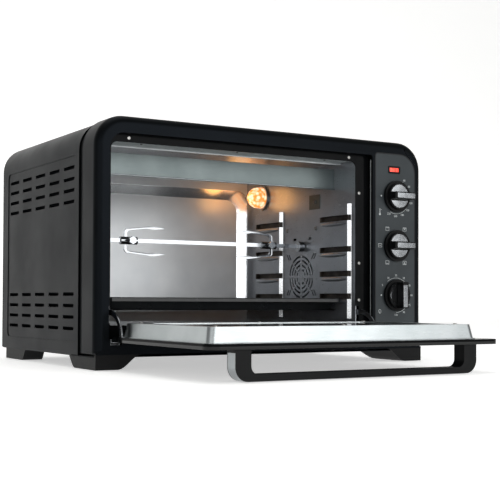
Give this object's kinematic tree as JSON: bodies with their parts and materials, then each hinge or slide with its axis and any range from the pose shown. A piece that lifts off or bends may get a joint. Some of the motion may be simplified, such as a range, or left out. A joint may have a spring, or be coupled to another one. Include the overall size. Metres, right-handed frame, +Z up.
{
  "type": "rotisserie oven",
  "caption": "Worktop rotisserie oven with a drop-down glass door, a turning spit with sliding forks, a side fan, an interior lamp and turning control knobs.",
  "frame": {"origin": "on the worktop plane, under the middle of the whole object with its door open", "axes": "+X to the right seen from the front, +Y from the front to the back, +Z up; the door opens towards -Y"},
  "size_m": [0.568, 0.679, 0.3515],
  "materials": {
    "body_black": "satin black coat",
    "panel_black": "fine satin",
    "zinc_plate": "zinc plated",
    "moulded_black": "fine moulded grain",
    "rubber": "matt",
    "chrome": "polished",
    "shaft_steel": "turned",
    "enamel_black": "gloss enamel",
    "aluminised": "satin aluminised sheet",
    "element_sheath": "heat darkened",
    "ceramic": "matt",
    "lamp_glass": "clear, lit warm",
    "lens_red": "translucent, lit",
    "door_glass_black": "tempered, black border",
    "inner_glass": "tempered",
    "satin_aluminium": "satin"
  },
  "bodies": {
    "body": {"front_bezel": "body_black", "control_panel": "panel_black", "outer_shell": "body_black", "back_panel": "body_black", "base_plate": "zinc_plate", "front_feet": "moulded_black", "rear_feet": "moulded_black", "foot_pads": "rubber", "body_screws": "chrome", "cord_inlet": "moulded_black", "front_flange": "enamel_black", "cavity_top": "aluminised", "cavity_back": "aluminised", "cavity_floor": "aluminised", "cavity_side_left": "aluminised", "cavity_side_right": "aluminised", "wall_cover_plate": "zinc_plate", "upper_heat_shield": "aluminised", "upper_heating_element": "element_sheath", "lower_heating_element": "element_sheath", "element_bushes": "ceramic", "cavity_screws": "chrome", "lamp_dome": "lamp_glass", "lamp_holder": "zinc_plate", "lamp_bulb": "lamp_glass", "fan_housing": "zinc_plate", "fan_motor": "moulded_black", "spit_motor": "zinc_plate", "spit_rest": "zinc_plate", "thermostat_unit": "ceramic", "selector_unit": "ceramic", "timer_unit": "zinc_plate", "pilot_lens": "lens_red", "baking_tray": "enamel_black", "crumb_tray": "zinc_plate", "hinge_brackets": "zinc_plate"},
    "door": {"door_glass": "door_glass_black", "door_frame": "enamel_black", "door_inner_pan": "aluminised", "door_inner_glass": "inner_glass", "door_screws": "chrome", "door_handle": "moulded_black", "handle_end_trims": "satin_aluminium", "hinge_arms": "chrome"},
    "spit": {"spit_rod": "chrome", "spit_drive_socket": "chrome"},
    "fork_left": {"spit_fork_left": "chrome", "fork_screw_left": "chrome"},
    "fork_right": {"spit_fork_right": "chrome", "fork_screw_right": "chrome"},
    "fan": {"fan_impeller": "zinc_plate"},
    "thermostat_knob": {"thermostat_knob": "moulded_black", "thermostat_knob_trim": "chrome", "thermostat_shaft": "shaft_steel"},
    "selector_knob": {"selector_knob": "moulded_black", "selector_knob_trim": "chrome", "selector_shaft": "shaft_steel"},
    "timer_knob": {"timer_knob": "moulded_black", "timer_knob_trim": "chrome", "timer_shaft": "shaft_steel"}
  },
  "joints": [
    {"name": "door_hinge", "type": "hinge", "parent": "body", "child": "door", "pos_m": [-0.04, -0.0535, 0.0395], "axis": [-1, 0, 0], "range_deg": [0, 90]},
    {"name": "thermostat_turn", "type": "hinge", "parent": "body", "child": "thermostat_knob", "pos_m": [0.2312, -0.0585, 0.2635], "axis": [0, 1, 0], "range_deg": [0, 300]},
    {"name": "selector_turn", "type": "hinge", "parent": "body", "child": "selector_knob", "pos_m": [0.2312, -0.0585, 0.1847], "axis": [0, 1, 0], "range_deg": [0, 300]},
    {"name": "timer_turn", "type": "hinge", "parent": "body", "child": "timer_knob", "pos_m": [0.2312, -0.0585, 0.1059], "axis": [0, 1, 0], "range_deg": [-90, 210]},
    {"name": "spit_spin", "type": "hinge", "parent": "body", "child": "spit", "pos_m": [-0.05, 0.1035, 0.188], "axis": [1, 0, 0], "continuous": true},
    {"name": "fan_spin", "type": "hinge", "parent": "body", "child": "fan", "pos_m": [0.18, 0.109, 0.137], "axis": [1, 0, 0], "continuous": true},
    {"name": "fork_left_slide", "type": "slide", "parent": "spit", "child": "fork_left", "axis": [1, 0, 0], "range_m": [0, 0.04]},
    {"name": "fork_right_slide", "type": "slide", "parent": "spit", "child": "fork_right", "axis": [-1, 0, 0], "range_m": [0, 0.04]}
  ]
}
